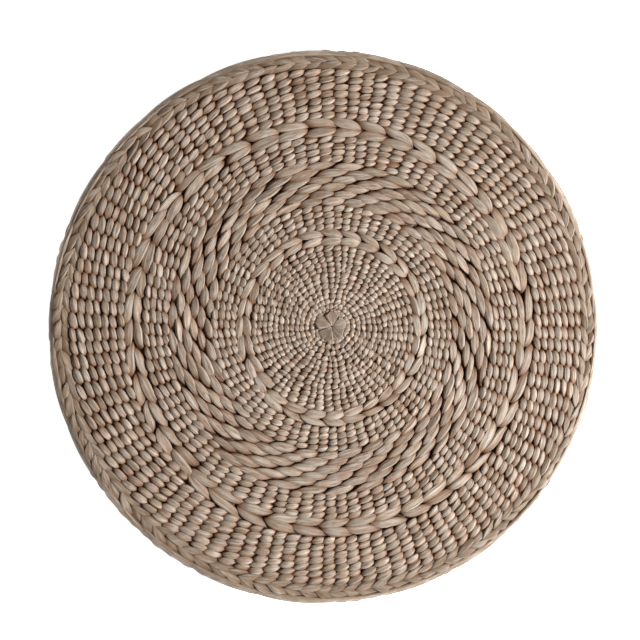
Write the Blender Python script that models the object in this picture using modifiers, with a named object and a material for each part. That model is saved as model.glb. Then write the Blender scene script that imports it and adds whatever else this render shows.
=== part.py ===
"""A round chair seat pad of twined rush, stuffed with dry straw, as a Blender 4.5 model.

Units are metres and +Z is up. The pad lies flat on its underside, with the origin at the middle of that underside.
A star of spokes starts under the centre knot, runs out below the weave of the top, bends over the edge and goes
down behind the side wall. A second star holds the underside, with its ends turned up between the first one's legs.
Rows of weft strand are twined round the spokes: bands on the top, rows on the side wall, and rows on the underside.
A plaited rim of two rows closes each edge. Every piece is one closed solid, a named gap away from its neighbours.
"""

import math

import bmesh
import bpy
from mathutils import Vector

# Overall sizes
PAD_DIAMETER = 0.400
PAD_THICKNESS = 0.040
CROWN = 0.003  # how much lower the top is at the edge than at its centre

# The weave
GAP = 0.0003  # clearance between pieces that touch
WEFT_THICKNESS = 0.0040  # how far the twined strands stand out from the spokes
ROW_ROUNDING = 0.0012  # chamfer along the edges of a band of weft
KNOT_RADIUS = 0.0110
KNOT_PROUD = 0.0008  # how far the knot's middle stands above the weave round it
UNDER_KNOT_RADIUS = 0.0150

# The bands of the top between the knot and the outer field, from the centre outwards: name, rows of weft, and the
# width of one row. The outer field takes what is left, up to the rim.
TOP_BANDS = (
    ("top_centre_field", 12, 0.00392),
    ("top_inner_chevron_in", 1, 0.0056),
    ("top_inner_chevron_out", 1, 0.0049),
    ("top_inner_field", 4, 0.00425),
    ("top_twill_band", 6, 0.00502),
    ("top_middle_field", 4, 0.0045),
    ("top_outer_chevron_in", 1, 0.0060),
    ("top_outer_chevron_out", 1, 0.0061),
)
UNDER_INNER_FIELD_RADIUS = 0.100

# The rim and the side wall
RIM_INNER_WIDTH = 0.0044  # the rim row that lies on the flat
RIM_OUTER_WIDTH = 0.0099  # the rim row that rolls over the edge, measured across the flat
RIM_OUTER_DROP = 0.0082  # how far that row reaches down the side wall
RIM_PROUD = 0.0006  # how far the rim row's back stands above the field beside it
SIDE_ROWS = 4
SIDE_BULGE = 0.0012  # how far the middle rows of the side wall stand out beyond the rims

# The spokes and the filling
SPOKES = 27
SPOKE_THICKNESS = 0.0020
SPOKE_WIDTH = 0.0045
HUB_RADIUS = 0.0105
UNDER_LEG_HEIGHT = 0.0100  # how far the underside's spokes turn up inside the side wall
LEG_CLEARANCE = 0.0010  # between the end of a leg and the spokes or weave it points at
FILLING_SHOULDER = 0.0060  # chamfer round the filling's edges

SEGMENTS = 36  # sides of every turned piece

PAD_RADIUS = PAD_DIAMETER / 2
EDGE_RADIUS = PAD_RADIUS - SIDE_BULGE
EDGE_TOP = PAD_THICKNESS - KNOT_PROUD - CROWN
RIM_OUTER_START = EDGE_RADIUS - RIM_OUTER_WIDTH
RIM_INNER_START = RIM_OUTER_START - GAP - RIM_INNER_WIDTH
WALL_INSIDE = EDGE_RADIUS - WEFT_THICKNESS  # inner radius of the side wall, at its corners
SPOKE_OUTSIDE = WALL_INSIDE * math.cos(math.pi / SEGMENTS) - GAP  # the legs' outer faces clear the wall's flats
LEG_RADIUS = SPOKE_OUTSIDE - SPOKE_THICKNESS / 2

RUSH = ("woven_rush", (0.47, 0.36, 0.26), 0.62)
RIM_RUSH = ("plaited_rim_rush", (0.50, 0.38, 0.28), 0.60)
KNOT_RUSH = ("knot_rush", (0.40, 0.29, 0.17), 0.66)
SPOKE_RUSH = ("spoke_rush", (0.33, 0.24, 0.15), 0.70)
STRAW = ("straw_filling", (0.52, 0.42, 0.24), 0.85)


def clear_scene():
    """Remove every object of the scene that Blender starts with."""
    for obj in list(bpy.data.objects):
        bpy.data.objects.remove(obj, do_unlink=True)


def new_collection(name):
    """Make a collection in the scene and return it."""
    collection = bpy.data.collections.new(name)
    bpy.context.scene.collection.children.link(collection)
    return collection


def new_material(node_name, finish):
    """Make the Principled material of one node from a finish: its name, colour and roughness."""
    finish_name, colour, roughness = finish
    material = bpy.data.materials.new(f"{finish_name}.{node_name}")
    material.use_nodes = True
    shader = material.node_tree.nodes["Principled BSDF"]
    shader.inputs["Base Color"].default_value = (*colour, 1.0)
    shader.inputs["Roughness"].default_value = roughness
    shader.inputs["Metallic"].default_value = 0.0
    material.diffuse_color = (*colour, 1.0)
    return material


def add_object(collection, name, mesh, finish):
    """Put a mesh in the collection as a named object with its own material."""
    obj = bpy.data.objects.new(name, mesh)
    mesh.materials.append(new_material(name, finish))
    collection.objects.link(obj)
    return obj


def turned(collection, name, profile, finish, closed=True):
    """Turn a profile of (radius, height) points about Z.

    The points run along the top outwards, down the outer side and back inwards below. A closed profile is a ring;
    an open one starts and ends on the axis.
    """
    mesh = bpy.data.meshes.new(name)
    count = len(profile)
    edges = [(i, (i + 1) % count) for i in range(count if closed else count - 1)]
    mesh.from_pydata([(radius, 0.0, height) for radius, height in profile], edges, [])
    obj = add_object(collection, name, mesh, finish)
    screw = obj.modifiers.new("Turn", "SCREW")
    screw.axis = "Z"
    screw.angle = 2 * math.pi
    screw.steps = SEGMENTS
    screw.render_steps = SEGMENTS
    screw.use_merge_vertices = True
    screw.merge_threshold = 0.00001
    screw.use_smooth_shade = True
    return obj


def top_height(radius):
    """Height of the top of the weave at this radius, which falls evenly from the centre to the edge."""
    return PAD_THICKNESS - KNOT_PROUD - CROWN * radius / EDGE_RADIUS


def band_profile(inner, outer):
    """Section of a band of weft that lies on the top's spokes."""
    return [
        (inner + ROW_ROUNDING, top_height(inner + ROW_ROUNDING)),
        (outer - ROW_ROUNDING, top_height(outer - ROW_ROUNDING)),
        (outer, top_height(outer) - ROW_ROUNDING),
        (outer, top_height(outer) - WEFT_THICKNESS),
        (inner, top_height(inner) - WEFT_THICKNESS),
        (inner, top_height(inner) - ROW_ROUNDING),
    ]


def flipped(profile, height):
    """The same section turned upside down between the ground and this height, still running the right way."""
    return [(radius, height - z) for radius, z in reversed(profile)]


def under_band_profile(inner, outer):
    """Section of a band of weft on the underside, flat on the ground."""
    return [
        (inner, WEFT_THICKNESS),
        (outer, WEFT_THICKNESS),
        (outer, ROW_ROUNDING),
        (outer - ROW_ROUNDING, 0.0),
        (inner + ROW_ROUNDING, 0.0),
        (inner, ROW_ROUNDING),
    ]


def rim_profile(edge_height):
    """Section of the rim row that rolls over an edge whose flat side is at this height."""
    under = edge_height - WEFT_THICKNESS
    return [
        (RIM_OUTER_START, edge_height - ROW_ROUNDING),
        (RIM_OUTER_START + ROW_ROUNDING, edge_height),
        (EDGE_RADIUS - 3 * ROW_ROUNDING, edge_height),
        (EDGE_RADIUS - ROW_ROUNDING, edge_height - ROW_ROUNDING),
        (EDGE_RADIUS, edge_height - 3 * ROW_ROUNDING),
        (EDGE_RADIUS, edge_height - RIM_OUTER_DROP),
        (WALL_INSIDE, edge_height - RIM_OUTER_DROP),
        (WALL_INSIDE, under),
        (RIM_OUTER_START, under),
    ]


def side_profile(low, high, outside):
    """Section of one row of the side wall, with a rounded outer face that reaches the outside radius."""
    return [
        (outside - ROW_ROUNDING, high),
        (outside, (low + high) / 2),
        (outside - ROW_ROUNDING, low),
        (WALL_INSIDE, low),
        (WALL_INSIDE, high),
    ]


def build_top_bands(collection):
    """The bands of weft of the top, with the outer field filling the room that is left inside the rim."""
    inner = KNOT_RADIUS + GAP
    for name, rows, row_width in TOP_BANDS:
        outer = inner + rows * row_width
        turned(collection, name, band_profile(inner, outer), RUSH)
        inner = outer + GAP
    turned(collection, "top_outer_field", band_profile(inner, RIM_INNER_START - GAP), RUSH)


def build_rims(collection):
    """The two plaited rows at the top edge, and the two at the bottom edge."""
    rim_end = RIM_INNER_START + RIM_INNER_WIDTH
    back, *rest = band_profile(RIM_INNER_START, rim_end)
    raised = [(back[0], back[1] + RIM_PROUD), (rest[0][0], rest[0][1] + RIM_PROUD), *rest[1:]]
    turned(collection, "top_rim_inner", raised, RIM_RUSH)
    turned(collection, "top_rim_outer", rim_profile(top_height(EDGE_RADIUS)), RIM_RUSH)
    turned(collection, "under_rim_inner", under_band_profile(RIM_INNER_START, rim_end), RIM_RUSH)
    turned(collection, "under_rim_outer", flipped(rim_profile(EDGE_TOP), EDGE_TOP), RIM_RUSH)


def build_side_rows(collection):
    """The rows of weft round the side wall, stacked evenly between the two rims."""
    low = RIM_OUTER_DROP + GAP
    high = EDGE_TOP - RIM_OUTER_DROP - GAP
    pitch = (high - low + GAP) / SIDE_ROWS
    for row in range(SIDE_ROWS):
        start = low + row * pitch
        steps_from_middle = int(abs(row - (SIDE_ROWS - 1) / 2))
        outside = PAD_RADIUS - SIDE_BULGE * 2 * steps_from_middle / (SIDE_ROWS + 1)
        turned(collection, f"side_row_{row + 1}", side_profile(start, start + pitch - GAP, outside), RUSH)


def build_under_bands(collection):
    """The two fields of weft on the underside."""
    inner = UNDER_KNOT_RADIUS + GAP
    turned(collection, "under_inner_field", under_band_profile(inner, UNDER_INNER_FIELD_RADIUS), RUSH)
    inner = UNDER_INNER_FIELD_RADIUS + GAP
    turned(collection, "under_outer_field", under_band_profile(inner, RIM_INNER_START - GAP), RUSH)


def build_knots(collection):
    """The knot of folded leaves at the top's centre, and the tied-off end at the underside's centre."""
    shoulder = top_height(KNOT_RADIUS)
    foot = shoulder - WEFT_THICKNESS
    above = [
        (0.0, PAD_THICKNESS),
        (KNOT_RADIUS - 2 * ROW_ROUNDING, shoulder),
        (KNOT_RADIUS, shoulder - ROW_ROUNDING),
        (KNOT_RADIUS, foot),
        (0.0, foot),
    ]
    turned(collection, "top_knot", above, KNOT_RUSH, closed=False)
    below = [
        (0.0, WEFT_THICKNESS),
        (UNDER_KNOT_RADIUS, WEFT_THICKNESS),
        (UNDER_KNOT_RADIUS, ROW_ROUNDING),
        (UNDER_KNOT_RADIUS - ROW_ROUNDING, 0.0),
        (0.0, 0.0),
    ]
    turned(collection, "under_knot", below, KNOT_RUSH, closed=False)


def place_section(face, angle, station):
    """Move a spoke's end face to a station, keeping each corner on its own side and in its own layer.

    A station is the (radius, height) of the section's middle and the (radius, height) vector from the face that
    lies on the filling to the face that lies under the weave.
    """
    (radius, height), (across_radius, across_height) = station
    outward = Vector((math.cos(angle), math.sin(angle), 0.0))
    sideways = Vector((-math.sin(angle), math.cos(angle), 0.0))
    middle = face.calc_center_median()
    centre = outward * radius + Vector((0.0, 0.0, height))
    across = outward * across_radius + Vector((0.0, 0.0, across_height))
    for vert in face.verts:
        offset = vert.co - middle
        side = math.copysign(SPOKE_WIDTH / 2, offset.dot(sideways))
        layer = math.copysign(0.5, offset.dot(across))
        vert.co = centre + sideways * side + across * layer


def build_star(collection, name, hub_height, stations, first_angle):
    """A hub with a flat spoke on every other side, each run through the stations one after another."""
    bm = bmesh.new()
    bmesh.ops.create_cone(bm, cap_ends=True, segments=2 * SPOKES, radius1=HUB_RADIUS, radius2=HUB_RADIUS,
                          depth=SPOKE_THICKNESS)
    bmesh.ops.translate(bm, verts=bm.verts, vec=(0.0, 0.0, hub_height))
    bm.normal_update()
    sides = [(math.atan2(face.normal.y, face.normal.x) % math.tau, face)
             for face in bm.faces if abs(face.normal.z) < 0.5]
    sides.sort(key=lambda side: side[0])
    for angle, face in sides[::2]:
        for station in stations:
            face = bmesh.ops.extrude_discrete_faces(bm, faces=[face])["faces"][0]
            place_section(face, angle, station)
    bmesh.ops.recalc_face_normals(bm, faces=bm.faces)
    mesh = bpy.data.meshes.new(name)
    bm.to_mesh(mesh)
    bm.free()
    star = add_object(collection, name, mesh, SPOKE_RUSH)
    star.rotation_euler.z = first_angle


def build_spokes(collection):
    """The two stars of spokes. The underside's ends stand half a step round from the top's legs, between them."""
    depth = WEFT_THICKNESS + GAP + SPOKE_THICKNESS / 2
    corner = top_height(EDGE_RADIUS) - depth
    leg_end = depth + SPOKE_THICKNESS / 2 + LEG_CLEARANCE
    upright = (SPOKE_THICKNESS, 0.0)
    top_path = [
        ((LEG_RADIUS, corner), (SPOKE_THICKNESS, SPOKE_THICKNESS)),
        ((LEG_RADIUS, leg_end), upright),
    ]
    build_star(collection, "top_spokes", top_height(HUB_RADIUS) - depth, top_path, 0.0)
    under_path = [
        ((LEG_RADIUS, depth), (SPOKE_THICKNESS, -SPOKE_THICKNESS)),
        ((LEG_RADIUS, depth + UNDER_LEG_HEIGHT), upright),
    ]
    build_star(collection, "under_spokes", depth, under_path, math.pi / SPOKES)


def build_filling(collection):
    """The cake of dry straw between the two stars, with its edges chamfered."""
    radius = LEG_RADIUS - SPOKE_THICKNESS / 2 - GAP
    low = WEFT_THICKNESS + SPOKE_THICKNESS + 2 * GAP
    centre_top = top_height(HUB_RADIUS) - low
    edge_top = top_height(EDGE_RADIUS) - low
    profile = [
        (0.0, centre_top),
        (HUB_RADIUS, centre_top),
        (radius - FILLING_SHOULDER, edge_top),
        (radius, edge_top - FILLING_SHOULDER),
        (radius, low + FILLING_SHOULDER),
        (radius - FILLING_SHOULDER, low),
        (0.0, low),
    ]
    turned(collection, "filling", profile, STRAW, closed=False)


def main():
    """Build the whole pad in a collection of its own."""
    clear_scene()
    pad = new_collection("chair_seat_pad")
    build_top_bands(pad)
    build_rims(pad)
    build_side_rows(pad)
    build_under_bands(pad)
    build_knots(pad)
    build_spokes(pad)
    build_filling(pad)


main()
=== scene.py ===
"""The looks of a round chair seat pad, hand-twined from dried rush leaf and filled with straw.

The pad's outer skin follows one outline: from the centre knot across the crowned top, over the rolled edge,
down the side wall and back under to the middle of the underside. Every stitch is a closed lobe of leaf laid
on that outline, so a band of weaving is its rows, its stalks and the way its stitches lean. Bands keep the
places of the CAD pieces.
"""

from __future__ import annotations

import logging
import math
from dataclasses import dataclass, field
from enum import Enum
from typing import Sequence

import bpy
import numpy as np
from mathutils import Matrix, Vector


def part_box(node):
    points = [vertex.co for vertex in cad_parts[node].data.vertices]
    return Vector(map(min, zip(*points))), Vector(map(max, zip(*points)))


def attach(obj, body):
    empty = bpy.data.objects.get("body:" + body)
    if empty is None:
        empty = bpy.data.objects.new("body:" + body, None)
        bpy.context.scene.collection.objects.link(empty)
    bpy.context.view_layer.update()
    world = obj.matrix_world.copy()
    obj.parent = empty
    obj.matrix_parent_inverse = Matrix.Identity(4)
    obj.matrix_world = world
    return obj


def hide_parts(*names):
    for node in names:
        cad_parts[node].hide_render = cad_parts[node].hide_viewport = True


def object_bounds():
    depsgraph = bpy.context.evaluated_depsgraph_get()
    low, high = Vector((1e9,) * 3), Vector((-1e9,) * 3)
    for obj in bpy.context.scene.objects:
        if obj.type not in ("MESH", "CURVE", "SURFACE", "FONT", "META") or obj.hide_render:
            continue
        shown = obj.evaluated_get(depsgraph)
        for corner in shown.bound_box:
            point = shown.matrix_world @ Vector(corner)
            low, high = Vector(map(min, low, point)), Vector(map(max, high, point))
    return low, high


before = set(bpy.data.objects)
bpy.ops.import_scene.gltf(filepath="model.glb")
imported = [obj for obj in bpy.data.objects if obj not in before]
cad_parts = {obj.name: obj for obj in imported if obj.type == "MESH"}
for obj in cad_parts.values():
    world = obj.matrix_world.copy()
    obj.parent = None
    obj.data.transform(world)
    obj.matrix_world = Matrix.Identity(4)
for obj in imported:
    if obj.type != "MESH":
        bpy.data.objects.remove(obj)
CAD_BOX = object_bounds()

LOG = logging.getLogger("seat_pad")
MM = 0.001
GAP = 0.3 * MM  # clearance between neighbouring CAD pieces
JOG_ANGLE = math.radians(227.0)  # where each turn of the weaving steps out to the next row
WAVER = 0.35 * MM  # how far the rows wander from a true circle
DEEPEST = 4 * MM  # how far below the skin a leaf counts as fully out of the light
FLAT_POINTS = 400  # points of the outline over each flat face
ROLL_POINTS = 60  # over each rolled edge
WALL_POINTS = 80  # down the side wall
TOP_NODES = ("top_knot", "top_centre_field", "top_inner_chevron_in", "top_inner_chevron_out",
             "top_inner_field", "top_twill_band", "top_middle_field", "top_outer_chevron_in",
             "top_outer_chevron_out", "top_outer_field", "top_rim_inner", "top_rim_outer")


class Lean(Enum):
    """Which way a stitch leans, followed clockwise along its row."""

    OUTWARD = 1.0
    INWARD = -1.0


# ---------------------------------------------------------------- finishes


def linear(hex_colour: str) -> tuple[float, float, float, float]:
    """Turn an sRGB hex colour into linear RGBA.

    Args:
        hex_colour: six hex digits after a hash sign.

    Returns:
        The linear red, green and blue, and an alpha of 1.
    """
    parts = [int(hex_colour[i:i + 2], 16) / 255 for i in (1, 3, 5)]
    red, green, blue = (c / 12.92 if c <= 0.04045 else ((c + 0.055) / 1.055) ** 2.4 for c in parts)
    return red, green, blue, 1.0


def add_node(tree: bpy.types.NodeTree, kind: str, settings: dict | None = None,
             inputs: dict | None = None) -> bpy.types.Node:
    """Add one node with its settings, its input values and its links.

    Args:
        tree: the node tree that gets it.
        kind: the node's type name.
        settings: properties to set on the node itself.
        inputs: socket name or index to a value, or to an output socket to link from.

    Returns:
        The new node.
    """
    node = tree.nodes.new(kind)
    for name, value in (settings or {}).items():
        setattr(node, name, value)
    for name, value in (inputs or {}).items():
        if isinstance(value, bpy.types.NodeSocket):
            tree.links.new(value, node.inputs[name])
        else:
            node.inputs[name].default_value = value
    return node


def blank_material(name: str) -> tuple[bpy.types.Material, bpy.types.NodeTree, bpy.types.Node]:
    """Make a material that holds only its output.

    Args:
        name: the material's name.

    Returns:
        The material, its node tree and its output node.
    """
    material = bpy.data.materials.new(name)
    material.use_nodes = True
    tree = material.node_tree
    tree.nodes.clear()
    return material, tree, add_node(tree, "ShaderNodeOutputMaterial")


@dataclass(frozen=True)
class DriedRush:
    """Dried bulrush leaf, twisted by hand into a flat soft strand.

    The eye sees a satin, faintly waxy skin with fine lengthwise fibres, a few long creases from the twisting,
    and tones that wander from grey straw to pink and green from leaf to leaf. Painted light and shade are
    added: greyer fibre ridges, darker fibre and crease valleys, and browner, darker leaf where it tucks out
    of the light.
    """

    name: str
    tones: tuple[str, ...] = ("#a08d7c", "#b4a08e", "#bba491", "#aa9985", "#c3af9c", "#af9881")
    brown_shade: str = "#84552e"  # painted shade: the browner leaf down the fibre valleys and on the sides of a strand, out of the light
    shaded: str = "#431f08"  # painted shade: the dark brown given to leaf that lies deepest, down between the strands
    ridge_highlight: str = "#d4cec8"  # partly the leaf's streaky grain, partly painted highlight: the raised fibre ridges made lighter and greyer
    fleck: str = "#8a7050"  # the small scars and bruises of a harvested leaf
    roughness: float = 0.56
    ior: float = 1.50  # of wax and cellulose
    fibre_spacing: float = 0.80 * MM  # drawn coarser than the real half millimetre, so it shows from above
    fibre_length: float = 11.0 * MM
    crease_spacing: float = 2.3 * MM
    crease_length: float = 38.0 * MM
    fibre_depth: float = 0.34 * MM
    crease_depth: float = 0.70 * MM
    slit_shade: float = 0.62  # how dark the narrow folds between creases look
    blotch_spacing: float = 2.6 * MM
    blotch_length: float = 7.0 * MM

    def build(self) -> bpy.types.Material:
        """Make the material, which reads the strand's own lengthwise coordinates and tones.

        Returns:
            The finished material.
        """
        material, tree, output = blank_material(self.name)
        strand = add_node(tree, "ShaderNodeAttribute", {"attribute_name": "strand"})
        tone = add_node(tree, "ShaderNodeAttribute", {"attribute_name": "tone"})
        tones = add_node(tree, "ShaderNodeSeparateXYZ", inputs={0: tone.outputs["Vector"]})
        fibres = self._streaks(tree, strand, self.fibre_spacing, self.fibre_length)
        creases = self._streaks(tree, strand, self.crease_spacing, self.crease_length)
        blotches = self._streaks(tree, strand, self.blotch_spacing, self.blotch_length)
        colour = self._colour(tree, tones, fibres, creases, blotches)
        rough = add_node(tree, "ShaderNodeMapRange", inputs={
            "Value": blotches, "From Min": 0.3, "From Max": 0.7,
            "To Min": self.roughness - 0.08, "To Max": self.roughness + 0.10})
        fine = add_node(tree, "ShaderNodeBump", inputs={
            "Strength": 0.9, "Distance": self.fibre_depth, "Height": fibres})
        coarse = add_node(tree, "ShaderNodeBump", inputs={
            "Strength": 0.9, "Distance": self.crease_depth, "Height": creases, "Normal": fine.outputs[0]})
        shader = add_node(tree, "ShaderNodeBsdfPrincipled", inputs={
            "Base Color": colour, "Roughness": rough.outputs[0], "IOR": self.ior, "Metallic": 0.0,
            "Normal": coarse.outputs[0]})
        tree.links.new(shader.outputs[0], output.inputs["Surface"])
        return material

    def _streaks(self, tree: bpy.types.NodeTree, strand: bpy.types.Node, across: float,
                 along: float) -> bpy.types.NodeSocket:
        """Draw noise out along the strand.

        Args:
            tree: the material's node tree.
            strand: the node that reads the strand's own coordinates.
            across: metres from mark to mark across the strand.
            along: the same along it.

        Returns:
            The noise, from about 0.2 to 0.8.
        """
        unlike = 97.0  # carries each strand's own number far across the noise, so no two strands match
        scale = (1 / across, 1 / along, unlike)
        place = add_node(tree, "ShaderNodeVectorMath", {"operation": "MULTIPLY"},
                         {0: strand.outputs["Vector"], 1: scale})
        noise = add_node(tree, "ShaderNodeTexNoise", inputs={
            "Vector": place.outputs[0], "Scale": 1.0, "Detail": 2.5, "Roughness": 0.6})
        return noise.outputs[0]

    def _colour(self, tree: bpy.types.NodeTree, tones: bpy.types.Node, fibres: bpy.types.NodeSocket,
                creases: bpy.types.NodeSocket, blotches: bpy.types.NodeSocket) -> bpy.types.NodeSocket:
        """Colour the leaf: its own tone, streaked and flecked, with painted light and shade on fibres,
        creases and deep leaf.

        Args:
            tree: the material's node tree.
            tones: the strand's tone in X, its strength in Y and the depth below the skin in Z.
            fibres: the noise of the fine lengthwise fibres.
            creases: the noise of the long creases.
            blotches: the noise of the flecks.

        Returns:
            The finished colour.
        """
        ramp = add_node(tree, "ShaderNodeValToRGB", inputs={0: tones.outputs["X"]})
        self._fill_ramp(ramp)
        # painted highlight, partly grain: the raised fibre ridges are made greyer and lighter
        ridged = self._painted_shading(tree, ramp.outputs[0], fibres, (0.49, 0.62), 0.46, self.ridge_highlight)
        # painted shade, partly grain: the fibre valleys are made browner
        streaked = self._painted_shading(tree, ridged, fibres, (0.50, 0.38), 0.34, self.brown_shade)
        # painted shade in the crease valleys and painted light on their tops; slit adds painted shade in the
        # narrow folds
        creased = self._scaled(tree, streaked, creases, (0.38, 0.60), (0.80, 1.07))
        off_fold = add_node(tree, "ShaderNodeMath", {"operation": "SUBTRACT"}, {0: creases, 1: 0.5})
        fold = add_node(tree, "ShaderNodeMath", {"operation": "ABSOLUTE"}, {0: off_fold.outputs[0]})
        slit = self._scaled(tree, creased, fold.outputs[0], (0.0, 0.035), (self.slit_shade, 1.0))
        strong = self._scaled(tree, slit, tones.outputs["Y"], (0.0, 1.0), (0.86, 1.10))
        spot = add_node(tree, "ShaderNodeMapRange", inputs={
            "Value": blotches, "From Min": 0.60, "From Max": 0.74, "To Min": 0.0, "To Max": 0.45})
        flecked = add_node(tree, "ShaderNodeMix", {"data_type": "RGBA"}, {
            0: spot.outputs[0], 6: strong, 7: linear(self.fleck)})
        # painted shade: the leaf is made browner the deeper it lies below the skin
        sides = self._painted_shading(tree, flecked.outputs[2], tones.outputs["Z"], (0.12, 0.50), 0.72, self.brown_shade)
        # painted shade: dark brown down between the strands, where the leaf lies deepest
        return self._painted_shading(tree, sides, tones.outputs["Z"], (0.32, 0.80), 0.95, self.shaded)

    def _painted_shading(self, tree: bpy.types.NodeTree, colour: bpy.types.NodeSocket, depth: bpy.types.NodeSocket,
                 spread: tuple[float, float], most: float, shading_colour: str) -> bpy.types.NodeSocket:
        """Paint light and shade into a colour, by mixing in another colour.

        Args:
            tree: the material's node tree.
            colour: the colour that gets the painted shading.
            depth: the value that the painted shading follows.
            spread: the values where the painted shading starts and where it is full.
            most: the painted shading's share where it is full.
            shading_colour: its sRGB hex colour.

        Returns:
            The colour with its painted light or shade.
        """
        deep = add_node(tree, "ShaderNodeMapRange", {"interpolation_type": "SMOOTHSTEP"}, {
            "Value": depth, "From Min": spread[0], "From Max": spread[1], "To Min": 0.0, "To Max": most})
        mixed = add_node(tree, "ShaderNodeMix", {"data_type": "RGBA"}, {
            0: deep.outputs[0], 6: colour, 7: linear(shading_colour)})
        return mixed.outputs[2]

    def _fill_ramp(self, ramp: bpy.types.Node) -> None:
        """Spread the leaf tones evenly along a colour ramp.

        Args:
            ramp: the colour ramp node, which starts with two stops.
        """
        stops = ramp.color_ramp.elements
        for i, hex_colour in enumerate(self.tones):
            at = i / (len(self.tones) - 1)
            stop = stops[0] if i == 0 else stops[len(stops) - 1] if at == 1.0 else stops.new(at)
            stop.color = linear(hex_colour)

    def _scaled(self, tree: bpy.types.NodeTree, colour: bpy.types.NodeSocket, by: bpy.types.NodeSocket,
                spread: tuple[float, float], limits: tuple[float, float]) -> bpy.types.NodeSocket:
        """Make a colour darker or lighter.

        Args:
            tree: the material's node tree.
            colour: the colour to change.
            by: the value that the change follows.
            spread: the values where the change starts and ends.
            limits: what the colour is multiplied by there.

        Returns:
            The changed colour.
        """
        factor = add_node(tree, "ShaderNodeMapRange", inputs={
            "Value": by, "From Min": spread[0], "From Max": spread[1],
            "To Min": limits[0], "To Max": limits[1]})
        scaled = add_node(tree, "ShaderNodeVectorMath", {"operation": "SCALE"}, {
            0: colour, "Scale": factor.outputs[0]})
        return scaled.outputs[0]


@dataclass(frozen=True)
class MattPaint:
    """Matt emulsion on a studio floor: even, pale and without gloss, so lit that the pad's shadow fades."""

    name: str = "matt_emulsion"
    colour: str = "#fafafa"
    roughness: float = 0.95
    ior: float = 1.3
    glow: float = 0.95  # stands for lamps below a pale floor, which take away the pad's shadow

    def build(self) -> bpy.types.Material:
        """Make the material.

        Returns:
            The finished material.
        """
        material, tree, output = blank_material(self.name)
        shader = add_node(tree, "ShaderNodeBsdfPrincipled", inputs={
            "Base Color": linear(self.colour), "Roughness": self.roughness, "IOR": self.ior,
            "Emission Color": linear(self.colour), "Emission Strength": self.glow})
        tree.links.new(shader.outputs[0], output.inputs["Surface"])
        return material


# ---------------------------------------------------------------- the pad's outline


@dataclass
class Outline:
    """Half section of the pad's outer surface, followed from the top's centre to the underside's centre."""

    crown: float
    shoulder: float
    edge_radius: float
    wall_radius: float
    top_roll: float = 7.5 * MM
    foot_roll: float = 6.5 * MM
    radius: np.ndarray = field(init=False)
    height: np.ndarray = field(init=False)
    length: np.ndarray = field(init=False)
    normal_r: np.ndarray = field(init=False)
    normal_z: np.ndarray = field(init=False)

    def __post_init__(self) -> None:
        """Lay out the section as a line of close points, with its run length and its outward normals."""
        top_r = np.linspace(0.0, self.edge_radius - self.top_roll, FLAT_POINTS)
        top_z = self.shoulder + (self.crown - self.shoulder) * (1 - (top_r / self.edge_radius) ** 2)
        turn = np.linspace(0.0, math.pi / 2, ROLL_POINTS)[1:]
        roll_r = top_r[-1] + self.top_roll * np.sin(turn)
        roll_z = top_z[-1] - self.top_roll * (1 - np.cos(turn))
        across = np.linspace(1.0, -1.0, WALL_POINTS)[1:]
        wall_top, wall_foot = roll_z[-1], self.foot_roll
        wall_z = (wall_top + wall_foot) / 2 + across * (wall_top - wall_foot) / 2
        wall_r = self.edge_radius + (self.wall_radius - self.edge_radius) * (1 - across ** 2)
        foot_r = self.edge_radius - self.foot_roll * (1 - np.cos(turn))
        foot_z = self.foot_roll * (1 - np.sin(turn))
        under_r = np.linspace(foot_r[-1], 0.0, FLAT_POINTS)[1:]
        self.radius = np.concatenate([top_r, roll_r, wall_r, foot_r, under_r])
        self.height = np.concatenate([top_z, roll_z, wall_z, foot_z, np.zeros_like(under_r)])
        steps = np.hypot(np.diff(self.radius), np.diff(self.height))
        self.length = np.concatenate([[0.0], np.cumsum(steps)])
        slope_r = np.gradient(self.radius, self.length)
        slope_z = np.gradient(self.height, self.length)
        size = np.hypot(slope_r, slope_z)
        self.normal_r, self.normal_z = -slope_z / size, slope_r / size

    def at(self, run: np.ndarray) -> tuple[np.ndarray, np.ndarray, np.ndarray, np.ndarray]:
        """Look up places on the outline.

        Args:
            run: distances along the outline from the top's centre.

        Returns:
            Their radius and height, and the radial and upward parts of the normal there.
        """
        lines = (self.radius, self.height, self.normal_r, self.normal_z)
        return tuple(np.interp(run, self.length, line) for line in lines)

    def on_top(self, radius: float) -> float:
        """Find a place on the top.

        Args:
            radius: its distance from the pad's axis.

        Returns:
            The run length to it along the outline.
        """
        near_edge = self.edge_radius - self.top_roll * 0.02
        half = int(np.argmax(self.radius >= near_edge))
        return float(np.interp(radius, self.radius[:half], self.length[:half]))

    def on_wall(self, height: float) -> float:
        """Find a place on the side wall.

        Args:
            height: its height above the surface that the pad lies on.

        Returns:
            The run length to it along the outline.
        """
        first, last = FLAT_POINTS, len(self.height) - FLAT_POINTS
        return float(np.interp(-height, -self.height[first:last], self.length[first:last]))

    def under(self, radius: float) -> float:
        """Find a place on the underside.

        Args:
            radius: its distance from the pad's axis.

        Returns:
            The run length to it along the outline.
        """
        tail = len(self.radius) - FLAT_POINTS
        return float(np.interp(-radius, -self.radius[tail:], self.length[tail:]))


# ---------------------------------------------------------------- strands of leaf


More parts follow.
